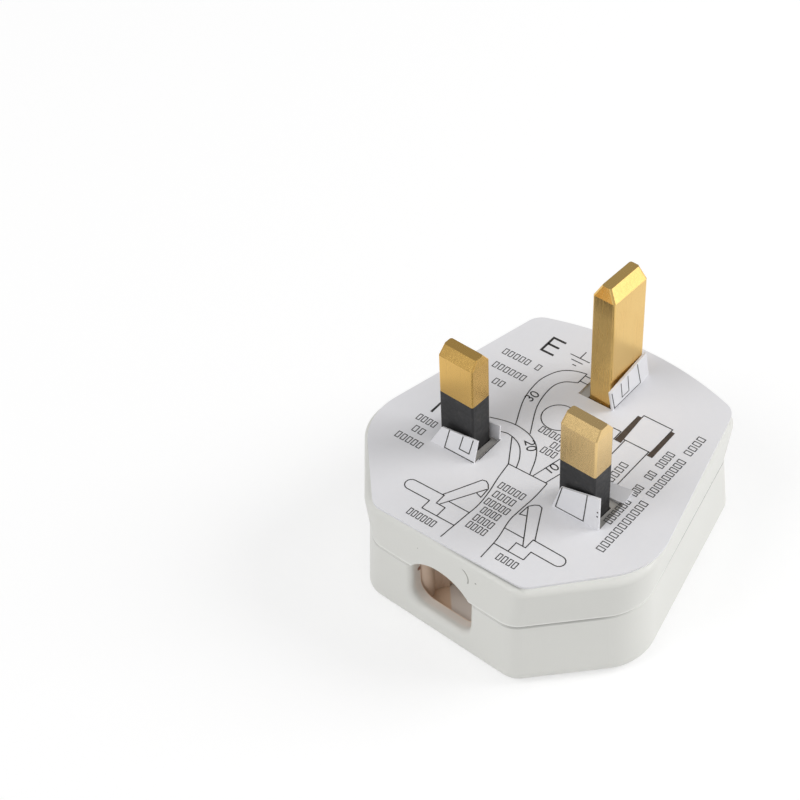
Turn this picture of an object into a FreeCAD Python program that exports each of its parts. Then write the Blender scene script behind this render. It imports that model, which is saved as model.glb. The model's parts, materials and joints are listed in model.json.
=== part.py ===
import FreeCAD, Part
import Sketcher
import os

# A rewirable three pin plug lying on its rear cover with its pins up.
# The origin is on the rear face, in the middle of the body. X runs from the line pin to the neutral
# pin, Y from the cord entry to the earth pin, Z from the rear face to the pin tips. Lengths are in mm.

SIZES = {
    # Body: the outline is drawn at the parting plane, where the two halves meet at a narrow waist.
    "body_height": 20.0,
    "parting_height": 11.9,
    "front_reach": 25.7,
    "front_half_width": 13.0,
    "shoulder_half_width": 25.6,
    "shoulder_setback": 11.7,
    "earth_corner_half_width": 17.1,
    "earth_corner_reach": 21.8,
    "earth_reach": 25.3,
    "front_corner_radius": 4.0,
    "shoulder_radius": 9.0,
    "earth_corner_radius": 3.5,
    "base_flare_deg": 6.3,
    "cover_flare_deg": 5.0,
    "cover_front_flare_deg": 2.9,
    "wall": 2.2,
    "least_inside_radius": 0.5,
    "face_edge_radius": 1.0,
    "back_edge_radius": 2.2,
    "parting_bevel": 0.2,
    # Cord entry: a notch in the cover's front wall under a low arch in the base's.
    "entry_half_width": 5.6,
    "entry_floor": 4.4,
    "entry_arch_rise": 2.9,
    "entry_corner_radius": 2.6,
    "entry_lip": 1.0,
    # Pins and sleeves.
    "pin_spacing": 22.23,
    "earth_pin_distance": 22.23,
    "pin_row_setback": 6.3,
    "current_pin_width": 6.35,
    "earth_pin_width": 7.95,
    "pin_thickness": 3.97,
    "pin_edge_radius": 0.35,
    "current_pin_length": 17.7,
    "earth_pin_length": 22.73,
    "current_tip_height": 1.5,
    "earth_tip_height": 2.1,
    "tip_face_inset": 1.15,
    "current_tip_end_inset": 0.15,
    "earth_tip_end_inset": 0.5,
    "sleeve_length": 9.2,
    "sleeve_wall": 0.55,
    "pin_slot_clearance": 0.1,
    "pin_shoulder": 0.9,
    # Terminals and their screws.
    "terminal_width": 5.8,
    "terminal_end_height": 7.6,
    "wire_hole_height": 11.0,
    "wire_hole_diameter": 3.0,
    "terminal_screw_diameter": 3.0,
    "terminal_screw_head_diameter": 4.6,
    "terminal_screw_head_height": 1.6,
    "screw_slot_width": 0.8,
    "screw_slot_depth": 0.7,
    "thread_clearance": 0.05,
    "line_terminal_length": 7.0,
    "line_terminal_offset": 3.7,
    "line_terminal_setback": 11.0,
    # Fuse and its clips.
    "fuse_length": 25.4,
    "fuse_cap_diameter": 6.35,
    "fuse_cap_length": 6.0,
    "fuse_cap_wall": 0.3,
    "fuse_barrel_bore": 3.6,
    "clip_sheet": 0.6,
    "clip_width": 4.4,
    "clip_base_height": 13.2,
    "clip_opening_deg": 100.0,
    "clip_clearance": 0.02,
    "clip_plate_width": 6.0,
    "clip_neck_width": 2.6,
    "rivet_diameter": 2.6,
    # Cover screw, its boss, its retainer and its insert.
    "cover_screw_diameter": 4.0,
    "cover_screw_head_diameter": 7.0,
    "cover_screw_head_height": 2.2,
    "cover_screw_recess": 2.8,
    "cover_screw_length": 12.6,
    "screw_clearance": 0.2,
    "boss_wall": 1.4,
    "retainer_thickness": 0.7,
    "retainer_diameter": 8.0,
    "insert_diameter": 6.4,
    "insert_length": 7.0,
    # Ribs inside the halves.
    "rib": 1.2,
    "rib_clearance": 0.1,
    "pin_rib_depth": 3.4,
    "pin_rib_length": 6.0,
    "partition_offset": 6.3,
    "partition_length": 12.0,
    "partition_centre": 1.0,
    "fuse_rest_spacing": 8.0,
    # Cord grip.
    "grip_post_offset": 6.2,
    "grip_post_radius": 1.4,
    "grip_wall_gap": 0.2,
    "grip_end_gap": 0.36,
    "grip_bar_reach": 11.2,
    "grip_bar_width": 2.4,
    "grip_jaw_angle_deg": 20.5,
    "grip_hinge_length": 2.6,
    "grip_hinge_thickness": 0.9,
    "grip_pad_thickness": 1.8,
    "grip_tooth_depth": 0.5,
    "grip_jaw_top": 12.8,
    # Wiring card, turned a little on the pins, with a tab folded up at each pin.
    "card_thickness": 0.35,
    "card_skew_deg": 2.7,
    "card_front_reach": 18.66,
    "card_front_half_width": 13.4,
    "card_shoulder_half_width": 26.0,
    "card_shoulder_setback": 4.9,
    "card_earth_corner_half_width": 18.2,
    "card_earth_corner_reach": 28.5,
    "card_earth_reach": 31.9,
    "card_front_corner_radius": 3.0,
    "card_shoulder_radius": 11.0,
    "card_earth_corner_radius": 3.0,
    "card_slot_near_gap": 0.4,
    "card_slot_far_gap": 1.4,
    "tab_clearance": 0.06,
    "line_tab_lean_deg": 21.0,
    "line_tab_low_height": 3.3,
    "line_tab_low_inset": 1.5,
    "line_tab_high_height": 3.9,
    "line_tab_high_inset": 0.2,
    "neutral_tab_lean_deg": 4.5,
    "neutral_tab_low_height": 4.7,
    "neutral_tab_low_inset": 1.3,
    "neutral_tab_high_height": 6.2,
    "neutral_tab_high_inset": 0.3,
    "earth_tab_lean_deg": 0.3,
    "earth_tab_low_height": 4.6,
    "earth_tab_low_inset": -1.0,
    "earth_tab_high_height": 5.8,
    "earth_tab_high_inset": 1.2,
    "ear_gap": 0.8,
    "ear_low_height": 1.6,
    "ear_high_height": 2.6,
    "line_ear_lean_deg": 4.0,
    "neutral_ear_lean_deg": 72.0,
    # Rear label in its shallow seat.
    "label_length": 18.0,
    "label_width": 8.4,
    "label_reach": 14.5,
    "label_thickness": 0.12,
    "label_seat_depth": 0.15,
    "label_clearance": 0.1,
}

GRIP_TEETH = 4

doc = FreeCAD.newDocument("three_pin_plug")
sheet = doc.addObject("Spreadsheet::Sheet", "size")
for row, (alias, number) in enumerate(SIZES.items(), start=1):
    cell = "B%d" % row
    sheet.set("A%d" % row, alias)
    sheet.set(cell, str(number))
    sheet.setAlias(cell, alias)
doc.recompute()

# Places that several pieces share, as formulas on the sheet's sizes.
LINE_X = "(-size.pin_spacing / 2)"
NEUTRAL_X = "(size.pin_spacing / 2)"
PIN_ROW_Y = "(-size.pin_row_setback)"
EARTH_Y = "(size.earth_pin_distance - size.pin_row_setback)"
SEAT_Z = "(size.body_height - size.wall)"
FRONT_INSIDE_Y = "(size.wall - size.front_reach)"
PLATE_TOP_Z = "(size.clip_base_height + size.clip_sheet)"
CLIP_RADIUS = "(size.fuse_cap_diameter / 2 + size.clip_clearance)"
FUSE_Z = "(size.clip_base_height - %s)" % CLIP_RADIUS
BAR_LOW_Z = "(%s + size.rib_clearance)" % PLATE_TOP_Z
CLIP_DISTANCE = "(size.fuse_length / 2 - size.fuse_cap_length / 2)"
FRONT_CLIP_Y = "(%s - %s)" % (PIN_ROW_Y, CLIP_DISTANCE)
REAR_CLIP_Y = "(%s + %s)" % (PIN_ROW_Y, CLIP_DISTANCE)
LINE_TERMINAL_X = "(-size.line_terminal_offset)"
LINE_TERMINAL_Y = "(-size.line_terminal_setback)"
HOLD_DOWN_RIB_AT = "(size.terminal_screw_head_diameter / 2 + size.screw_clearance + size.rib / 2)"
GRIP_POST_Y = "(%s + size.grip_post_radius + size.grip_wall_gap)" % FRONT_INSIDE_Y
GRIP_END_Y = "(%s - %s - size.rib / 2 - size.grip_end_gap)" % (LINE_TERMINAL_Y, HOLD_DOWN_RIB_AT)
SHOULDER_BLOCK = "(size.current_pin_width + 2 * size.pin_shoulder)"
EARTH_BLOCK = "(size.earth_pin_width + 2 * size.pin_shoulder)"
CARD_TURN = "size.card_skew_deg * 1 deg"
# The turned card's tabs are folded just clear of the earth pin, which comes nearest to its fold.
TAB_AT = ("(size.earth_pin_distance * sin({0}) + size.pin_thickness / 2 * cos({0})"
          " + size.earth_pin_width / 2 * sin({0}) + size.tab_clearance)").format(CARD_TURN)
EAR_AT = "(size.pin_thickness / 2 + size.ear_gap)"


def value(formula):
    """The number that a formula on the sheet's sizes gives."""
    result = sheet.evalExpression(formula)
    return float(getattr(result, "Value", result))


def point(x, y):
    return FreeCAD.Vector(value(x), value(y), 0)


def new_body(label):
    body = doc.addObject("PartDesign::Body", label)
    body.Label = label
    return body


def sketch_on(body, name, role, start):
    """A sketch on one of the body's own planes, moved along the plane's normal by a formula."""
    sketch = body.newObject("Sketcher::SketchObject", name)
    plane = next(feature for feature in body.Origin.OriginFeatures if feature.Role == role)
    sketch.AttachmentSupport = [(plane, "")]
    sketch.MapMode = "FlatFace"
    sketch.setExpression("AttachmentOffset.Base.z", start)
    return sketch


def bind(sketch, constraint, formula):
    index = sketch.addConstraint(constraint)
    sketch.setExpression("Constraints[%d]" % index, formula)


def hold_point(sketch, geometry, position, x, y):
    """Fixes a point of the sketch at a pair of formulas."""
    bind(sketch, Sketcher.Constraint("DistanceX", -1, 1, geometry, position, value(x)), x)
    bind(sketch, Sketcher.Constraint("DistanceY", -1, 1, geometry, position, value(y)), y)


def join_ends(sketch, first, count):
    for index in range(count):
        after = first + (index + 1) % count
        sketch.addConstraint(Sketcher.Constraint("Coincident", first + index, 2, after, 1))


def outline(sketch, corners, arcs=None):
    """A closed outline through corners that are pairs of formulas.

    arcs maps the index of a side to the formulas of its radius and of a point that it bulges through.
    """
    arcs = arcs or {}
    first = sketch.GeometryCount
    count = len(corners)
    for index, corner in enumerate(corners):
        after = corners[(index + 1) % count]
        if index in arcs:
            bulge = point(*arcs[index][1])
            sketch.addGeometry(Part.Arc(point(*corner), bulge, point(*after)))
        else:
            sketch.addGeometry(Part.LineSegment(point(*corner), point(*after)))
    join_ends(sketch, first, count)
    for index, corner in enumerate(corners):
        hold_point(sketch, first + index, 1, *corner)
    for index, (radius, _) in arcs.items():
        bind(sketch, Sketcher.Constraint("Radius", first + index, value(radius)), radius)


def rectangle(x, y, width, length):
    """Corners of a rectangle centred on a pair of formulas."""
    left = "%s - (%s) / 2" % (x, width)
    right = "%s + (%s) / 2" % (x, width)
    low = "%s - (%s) / 2" % (y, length)
    high = "%s + (%s) / 2" % (y, length)
    return [(left, low), (right, low), (right, high), (left, high)]


def soft_rectangle(x, y, width, length):
    """Corners and corner arcs of a pin's section: a rectangle with soft corners."""
    radius = "size.pin_edge_radius"
    right = "%s + (%s) / 2" % (x, width)
    left = "%s - (%s) / 2" % (x, width)
    high = "%s + (%s) / 2" % (y, length)
    low = "%s - (%s) / 2" % (y, length)
    inset = " - " + radius
    outset = " + " + radius
    corners = [
        (left + outset, low), (right + inset, low), (right, low + outset), (right, high + inset),
        (right + inset, high), (left + outset, high), (left, high + inset), (left, low + outset),
    ]
    bulge = " %%s %s * (1 - sin(45 deg))" % radius
    arcs = {
        1: (radius, (right + bulge % "-", low + bulge % "+")),
        3: (radius, (right + bulge % "-", high + bulge % "-")),
        5: (radius, (left + bulge % "+", high + bulge % "-")),
        7: (radius, (left + bulge % "+", low + bulge % "+")),
    }
    return corners, arcs


def span(left, right, low, high):
    """Corners of a rectangle between formulas."""
    return [(left, low), (right, low), (right, high), (left, high)]


def circle(sketch, x, y, diameter):
    index = sketch.addGeometry(Part.Circle(point(x, y), FreeCAD.Vector(0, 0, 1), value(diameter) / 2))
    hold_point(sketch, index, 3, x, y)
    bind(sketch, Sketcher.Constraint("Diameter", index, value(diameter)), diameter)


def extrude(body, kind, name, sketch, length, back=False):
    """Adds or cuts a straight length of a sketch and checks that the solid grew or shrank."""
    before = body.Tip.Shape.Volume if body.Tip else 0.0
    feature = body.newObject("PartDesign::" + kind, name)
    feature.Profile = sketch
    feature.setExpression("Length", length)
    feature.Reversed = back
    doc.recompute([feature])
    grew = feature.Shape.Volume > before
    if grew != (kind == "Pad") or not feature.Shape.isValid():
        raise RuntimeError("%s of %s does not change the solid as it should" % (name, body.Label))
    return feature


def pad(body, name, role, start, length, corners, arcs=None):
    sketch = sketch_on(body, name + "_sketch", role, start)
    outline(sketch, corners, arcs)
    return extrude(body, "Pad", name, sketch, length)


def pocket(body, name, role, start, length, corners, arcs=None):
    sketch = sketch_on(body, name + "_sketch", role, start)
    outline(sketch, corners, arcs)
    return extrude(body, "Pocket", name, sketch, length, back=True)


def pad_round(body, name, role, start, length, x, y, diameter):
    sketch = sketch_on(body, name + "_sketch", role, start)
    circle(sketch, x, y, diameter)
    return extrude(body, "Pad", name, sketch, length)


def drill(body, name, role, start, length, x, y, diameter):
    sketch = sketch_on(body, name + "_sketch", role, start)
    circle(sketch, x, y, diameter)
    return extrude(body, "Pocket", name, sketch, length, back=True)


def edges_where(feature, test):
    return ["Edge%d" % number for number, edge in enumerate(feature.Shape.Edges, start=1) if test(edge)]


def faces_where(feature, test):
    return ["Face%d" % number for number, face in enumerate(feature.Shape.Faces, start=1) if test(face)]


def at_level(element, z):
    box = element.BoundBox
    return abs(box.ZMin - z) < 1e-5 and abs(box.ZMax - z) < 1e-5


def fillet(body, name, base, edges, radius):
    feature = body.newObject("PartDesign::Fillet", name)
    feature.Base = (base, edges)
    feature.setExpression("Radius", radius)
    doc.recompute([feature])
    return feature


def chamfer(body, name, base, edges, length):
    feature = body.newObject("PartDesign::Chamfer", name)
    feature.Base = (base, edges)
    feature.setExpression("Size", length)
    doc.recompute([feature])
    return feature


def plug_corners(prefix=""):
    """Corners and earth end arc of the body's outline, or of the card's, which has the same form."""
    def named(name):
        return "size." + prefix + name
    half = named("earth_corner_half_width")
    low = named("earth_corner_reach")
    apex = named("earth_reach")
    corners = [
        ("-" + named("front_half_width"), "-" + named("front_reach")),
        (named("front_half_width"), "-" + named("front_reach")),
        (named("shoulder_half_width"), "-" + named("shoulder_setback")),
        (half, low),
        ("-" + half, low),
        ("-" + named("shoulder_half_width"), "-" + named("shoulder_setback")),
    ]
    rise = "(%s - %s)" % (apex, low)
    radius = "(%s ^ 2 + %s ^ 2) / (2 * %s)" % (half, rise, rise)
    earth_side = 3
    return corners, {earth_side: (radius, ("0", apex))}


CORNER_RADII = ("front_corner_radius", "shoulder_radius", "earth_corner_radius")


def round_corners(body, base, height, radii):
    """Rounds six upright edges, two by two from the front to the earth end, with the given radii."""
    depth = value(height)
    uprights = [edge for edge in base.Shape.Edges
                if abs(edge.BoundBox.ZLength - depth) < 1e-5 and len(edge.Vertexes) == 2]
    uprights.sort(key=lambda edge: edge.CenterOfMass.y)
    middles = [edge.CenterOfMass for edge in uprights]
    for index, radius in enumerate(radii):
        pair = middles[2 * index:2 * index + 2]

        def at_corner(edge):
            return any(edge.CenterOfMass.isEqual(middle, 1e-3) for middle in pair)
        name = "%s_rounding_%d" % (base.Name, index + 1)
        base = fillet(body, name, base, edges_where(base, at_corner), radius)
    return base


def inside_outline(sketch):
    """The waist outline drawn again as a guide, and the cavity's outline one wall inside it."""
    corners, arcs = plug_corners()
    count = len(corners)
    outline(sketch, corners, arcs)
    wall = value("size.wall")
    middle = FreeCAD.Vector(0, 0, 0)
    guides = [sketch.Geometry[index] for index in range(count)]
    starts = []
    for corner in corners:
        at = point(*corner)
        starts.append(at + (middle - at).normalize() * wall)
    for index in range(count):
        sketch.toggleConstruction(index)
        after = starts[(index + 1) % count]
        if index in arcs:
            apex = FreeCAD.Vector(0, value(arcs[index][1][1]) - wall, 0)
            sketch.addGeometry(Part.Arc(starts[index], apex, after))
        else:
            sketch.addGeometry(Part.LineSegment(starts[index], after))
    join_ends(sketch, count, count)
    for index in range(count):
        inner = count + index
        if index in arcs:
            radius = "%s - size.wall" % arcs[index][0]
            sketch.addConstraint(Sketcher.Constraint("Coincident", inner, 3, index, 3))
            bind(sketch, Sketcher.Constraint("Radius", inner, guides[index].Radius - wall), radius)
        else:
            sketch.addConstraint(Sketcher.Constraint("Parallel", inner, index))
            bind(sketch, Sketcher.Constraint("Distance", inner, 1, index, wall), "size.wall")


def face_normal(face):
    first_u, last_u, first_v, last_v = face.ParameterRange
    return face.normalAt((first_u + last_u) / 2, (first_v + last_v) / 2)


def flare(body, name, base, front, angle):
    """Leans the front wall, or all the others, outwards from the parting plane."""
    def wanted(face):
        is_front = abs(face.CenterOfMass.x) < 1e-3 and face.CenterOfMass.y < 0
        return abs(face_normal(face).z) < 0.5 and is_front == front
    parting = value("size.parting_height")
    feature = body.newObject("PartDesign::Draft", name)
    feature.Base = (base, faces_where(base, wanted))
    feature.NeutralPlane = (base, faces_where(base, lambda face: at_level(face, parting)))
    feature.setExpression("Angle", angle)
    doc.recompute([feature])
    if feature.Shape.Volume < base.Shape.Volume:
        feature.Reversed = True
        doc.recompute([feature])
    return feature


def hollow_out(body, length, towards_face):
    """Cuts the cavity from the parting plane and rounds its corners one wall inside the outer ones."""
    sketch = sketch_on(body, body.Label + "_inside", "XY_Plane", "size.parting_height")
    inside_outline(sketch)
    cavity = extrude(body, "Pocket", body.Label + "_cavity", sketch, length, back=towards_face)
    inside = "max(size.%s - size.wall; size.least_inside_radius)"
    round_corners(body, cavity, length, [inside % radius for radius in CORNER_RADII])


def half_shell(label, height, towards_back, angle, front_angle, end_level, end_radius):
    """One moulded half: the outline padded from the parting plane, flared, rounded and hollowed."""
    body = new_body(label)
    sketch = sketch_on(body, label + "_outline", "XY_Plane", "size.parting_height")
    outline(sketch, *plug_corners())
    shell = extrude(body, "Pad", label + "_block", sketch, height, back=towards_back)
    shell = flare(body, label + "_side_flare", shell, False, angle)
    if front_angle:
        shell = flare(body, label + "_front_flare", shell, True, front_angle)
    shell = round_corners(body, shell, height, ["size." + radius for radius in CORNER_RADII])
    end = value(end_level)
    edges = edges_where(shell, lambda edge: at_level(edge, end))
    shell = fillet(body, label + "_end_edge", shell, edges, end_radius)
    parting = value("size.parting_height")
    edges = edges_where(shell, lambda edge: at_level(edge, parting))
    chamfer(body, label + "_parting_bevel", shell, edges, "size.parting_bevel")
    hollow_out(body, "%s - size.wall" % height, not towards_back)
    return body


def make_cover():
    body = half_shell("cover", "size.parting_height", True, "size.cover_flare_deg",
                      "size.cover_front_flare_deg", "0", "size.back_edge_radius")
    cut_entry_notch(body)
    boss = "size.insert_diameter + 2 * size.boss_wall"
    pad_round(body, "boss", "XY_Plane", "size.wall", "size.parting_height - size.wall", "0", "0", boss)
    drill(body, "insert_hole", "XY_Plane", "size.parting_height - size.insert_length",
          "size.insert_length", "0", "0", "size.insert_diameter")
    screw_end = "(size.body_height - size.cover_screw_recess - size.cover_screw_length)"
    drill(body, "screw_end_hole", "XY_Plane", screw_end + " - size.screw_clearance",
          "size.parting_height - size.insert_length - %s + size.screw_clearance" % screw_end,
          "0", "0", "size.cover_screw_diameter + 2 * size.screw_clearance")
    hold_down = "size.terminal_end_height - size.rib_clearance - size.wall"
    for name, x, y in (("earth", "0", EARTH_Y), ("line", LINE_TERMINAL_X, LINE_TERMINAL_Y)):
        for side, sign in (("front", "-"), ("rear", "+")):
            pad(body, "%s_%s_rib" % (name, side), "XY_Plane", "size.wall", hold_down,
                rectangle(x, "(%s %s %s)" % (y, sign, HOLD_DOWN_RIB_AT), "size.terminal_width", "size.rib"))
    for side, sign in (("inner", "-"), ("outer", "+")):
        pad(body, "neutral_%s_rib" % side, "XY_Plane", "size.wall", hold_down,
            rectangle("(%s %s %s)" % (NEUTRAL_X, sign, HOLD_DOWN_RIB_AT), PIN_ROW_Y,
                      "size.rib", "size.terminal_width"))
    rest_height = "%s - size.fuse_cap_diameter / 2 - size.rib_clearance - size.wall" % FUSE_Z
    for side, sign in (("front", "-"), ("rear", "+")):
        y = "(%s %s size.fuse_rest_spacing / 2)" % (PIN_ROW_Y, sign)
        pad(body, "fuse_%s_rest" % side, "XY_Plane", "size.wall", rest_height,
            rectangle(LINE_X, y, "size.clip_plate_width", "size.rib"))
    lozenge(body, "label_seat", pocket, drill, "0", "size.label_seat_depth", "size.label_clearance")


def cut_entry_notch(body):
    """The cord notch: round lower corners, and a soft lip on its outer edge."""
    reach = "size.front_reach - 2 * size.wall"
    notch = pocket(body, "entry_notch", "XZ_Plane", reach, "4 * size.wall",
                   span("-size.entry_half_width", "size.entry_half_width",
                        "size.entry_floor", "size.parting_height + size.wall"))
    floor = value("size.entry_floor")
    half = value("size.entry_half_width")

    def lower_corner(edge):
        box = edge.BoundBox
        across = abs(abs(box.Center.x) - half) < 1e-4 and box.XLength < 1e-4
        return across and at_level(edge, floor)
    edges = edges_where(notch, lower_corner)
    corners = fillet(body, "entry_corners", notch, edges, "size.entry_corner_radius")
    outside = -value("size.front_reach") + value("size.wall") / 2
    parting = value("size.parting_height")

    def outer_edge(edge):
        box = edge.BoundBox
        inside_notch = max(abs(box.XMin), abs(box.XMax)) < half + 1e-4
        below = box.ZMax < parting + 1e-4 and box.ZMin > floor - 1e-4
        return inside_notch and below and box.YMax < outside and box.YLength < 1 and box.ZMin < parting - 1
    fillet(body, "entry_lip", corners, edges_where(corners, outer_edge), "size.entry_lip")


def make_base():
    body = half_shell("base", "(size.body_height - size.parting_height)", False, "size.base_flare_deg",
                      "", "size.body_height", "size.face_edge_radius")
    rise = "size.entry_arch_rise"
    half = "size.entry_half_width"
    radius = "(%s ^ 2 + %s ^ 2) / (2 * %s)" % (half, rise, rise)
    ends = [(half, "size.parting_height"), ("-" + half, "size.parting_height")]
    pocket(body, "entry_arch", "XZ_Plane", "size.front_reach - 2 * size.wall", "4 * size.wall",
           ends, {0: (radius, ("0", "size.parting_height + " + rise))})
    slot_play = "2 * size.pin_slot_clearance"
    across = "size.pin_thickness + " + slot_play
    along = "size.current_pin_width + " + slot_play
    for name, x in (("line", LINE_X), ("neutral", NEUTRAL_X)):
        pocket(body, name + "_slot", "XY_Plane", SEAT_Z, "size.wall", rectangle(x, PIN_ROW_Y, along, across))
    pocket(body, "earth_slot", "XY_Plane", SEAT_Z, "size.wall",
           rectangle("0", EARTH_Y, across, "size.earth_pin_width + " + slot_play))
    add_screw_boss(body)
    add_base_ribs(body)


def add_screw_boss(body):
    """The boss that takes the cover screw's head from outside and its retainer from inside."""
    head_hole = "size.cover_screw_head_diameter + 2 * size.screw_clearance"
    boss_end = "(size.parting_height + size.retainer_thickness + size.rib_clearance)"
    pad_round(body, "screw_boss", "XY_Plane", boss_end, "%s - %s" % (SEAT_Z, boss_end),
              "0", "0", head_hole + " + 2 * size.boss_wall")
    drill(body, "screw_recess", "XY_Plane", "size.body_height - size.cover_screw_recess",
          "size.cover_screw_recess", "0", "0", head_hole)
    drill(body, "screw_hole", "XY_Plane", boss_end,
          "size.body_height - size.cover_screw_recess - " + boss_end,
          "0", "0", "size.cover_screw_diameter + 2 * size.screw_clearance")


def add_base_ribs(body):
    """Ribs that locate the pins, rest the clip plates, part the terminals and hold the cord grip."""
    rib_start = SEAT_Z + " - size.pin_rib_depth"
    beside = "(size.terminal_width / 2 + size.rib_clearance + size.rib / 2)"
    for name, x in (("line", LINE_X), ("neutral", NEUTRAL_X)):
        for side, sign in (("front", "-"), ("rear", "+")):
            pad(body, "%s_pin_%s_rib" % (name, side), "XY_Plane", rib_start, "size.pin_rib_depth",
                rectangle(x, "(%s %s %s)" % (PIN_ROW_Y, sign, beside), "size.pin_rib_length", "size.rib"))
    for side, sign in (("line_side", "-"), ("neutral_side", "")):
        pad(body, "earth_pin_%s_rib" % side, "XY_Plane", rib_start, "size.pin_rib_depth",
            rectangle(sign + beside, EARTH_Y, "size.rib", "size.pin_rib_length"))
    rest = "%s - %s" % (SEAT_Z, PLATE_TOP_Z)
    rests = (("front_clip", LINE_X, FRONT_CLIP_Y), ("rear_clip", LINE_X, REAR_CLIP_Y),
             ("line_terminal", LINE_TERMINAL_X, LINE_TERMINAL_Y))
    for name, x, y in rests:
        pad(body, name + "_rest", "XY_Plane", PLATE_TOP_Z, rest,
            rectangle(x, y, "size.clip_width", "size.clip_width / 2"))
    low = "(size.parting_height + size.rib_clearance)"
    height = "%s - %s" % (SEAT_Z, low)
    for side, sign in (("line_side", "-"), ("neutral_side", "")):
        pad(body, side + "_partition", "XY_Plane", low, height,
            rectangle(sign + "size.partition_offset", "size.partition_centre", "size.rib",
                      "size.partition_length"))
        bar_rear = "(%s + 2 * size.rib_clearance + size.grip_bar_width)" % FRONT_INSIDE_Y
        bar_middle = "(size.grip_bar_reach + size.grip_post_offset + size.grip_post_radius) / 2"
        bar_length = "size.grip_bar_reach - size.grip_post_offset - size.grip_post_radius"
        pad(body, side + "_grip_rib", "XY_Plane", BAR_LOW_Z, "%s - %s" % (SEAT_Z, BAR_LOW_Z),
            rectangle(sign + bar_middle, "(%s + size.rib / 2)" % bar_rear, bar_length, "size.rib"))


def add_tip(body, start, height, base_width, base_length, width_inset, length_inset, x, y):
    """The bevelled end of a pin, from its full section to a smaller one."""
    foot = sketch_on(body, "tip_foot", "XY_Plane", start)
    outline(foot, *soft_rectangle(x, y, base_width, base_length))
    crown = sketch_on(body, "tip_crown", "XY_Plane", "%s + %s" % (start, height))
    outline(crown, *soft_rectangle(x, y, "%s - 2 * %s" % (base_width, width_inset),
                                   "%s - 2 * %s" % (base_length, length_inset)))
    tip = body.newObject("PartDesign::AdditiveLoft", "tip")
    tip.Profile = foot
    tip.Sections = [crown]
    tip.Ruled = True
    doc.recompute([tip])


def add_terminal_bores(body, x, y, length):
    """The wire hole from front to rear, and the clamp screw's hole from the rear cover's side."""
    drill(body, "wire_hole", "XZ_Plane", "-(%s) - (%s)" % (y, length), "2 * (%s)" % length,
          x, "size.wire_hole_height", "size.wire_hole_diameter")
    drill(body, "screw_hole", "XY_Plane", "size.terminal_end_height",
          "size.wire_hole_height - size.terminal_end_height", x, y,
          "size.terminal_screw_diameter + 2 * size.thread_clearance")


def make_earth_pin():
    body = new_body("earth_pin")
    block_height = "%s - size.terminal_end_height" % SEAT_Z
    pad(body, "terminal", "XY_Plane", "size.terminal_end_height", block_height,
        rectangle("0", EARTH_Y, "size.terminal_width", EARTH_BLOCK))
    shaft = "size.wall + size.earth_pin_length - size.earth_tip_height"
    pad(body, "shaft", "XY_Plane", SEAT_Z, shaft,
        *soft_rectangle("0", EARTH_Y, "size.pin_thickness", "size.earth_pin_width"))
    add_tip(body, "size.body_height + size.earth_pin_length - size.earth_tip_height",
            "size.earth_tip_height", "size.pin_thickness", "size.earth_pin_width",
            "size.tip_face_inset", "size.earth_tip_end_inset", "0", EARTH_Y)
    add_terminal_bores(body, "0", EARTH_Y, EARTH_BLOCK)


def make_current_pin(label, x, block_start):
    """A line or neutral pin: a block inside, a slim core for the sleeve, and a full section above it."""
    body = new_body(label)
    pad(body, "foot", "XY_Plane", block_start, "%s - %s" % (SEAT_Z, block_start),
        rectangle(x, PIN_ROW_Y, SHOULDER_BLOCK, "size.terminal_width"))
    pad(body, "core", "XY_Plane", SEAT_Z, "size.wall + size.sleeve_length",
        rectangle(x, PIN_ROW_Y, "size.current_pin_width - 2 * size.sleeve_wall",
                  "size.pin_thickness - 2 * size.sleeve_wall"))
    pad(body, "blade", "XY_Plane", "size.body_height + size.sleeve_length",
        "size.current_pin_length - size.sleeve_length - size.current_tip_height",
        *soft_rectangle(x, PIN_ROW_Y, "size.current_pin_width", "size.pin_thickness"))
    add_tip(body, "size.body_height + size.current_pin_length - size.current_tip_height",
            "size.current_tip_height", "size.current_pin_width", "size.pin_thickness",
            "size.current_tip_end_inset", "size.tip_face_inset", x, PIN_ROW_Y)
    return body


def make_sleeve(label, x):
    body = new_body(label)
    height = "size.wall + size.sleeve_length"
    pad(body, "outside", "XY_Plane", SEAT_Z, height,
        *soft_rectangle(x, PIN_ROW_Y, "size.current_pin_width", "size.pin_thickness"))
    pocket(body, "inside", "XY_Plane", SEAT_Z, height,
           rectangle(x, PIN_ROW_Y, "size.current_pin_width - 2 * size.sleeve_wall",
                     "size.pin_thickness - 2 * size.sleeve_wall"))


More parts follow.
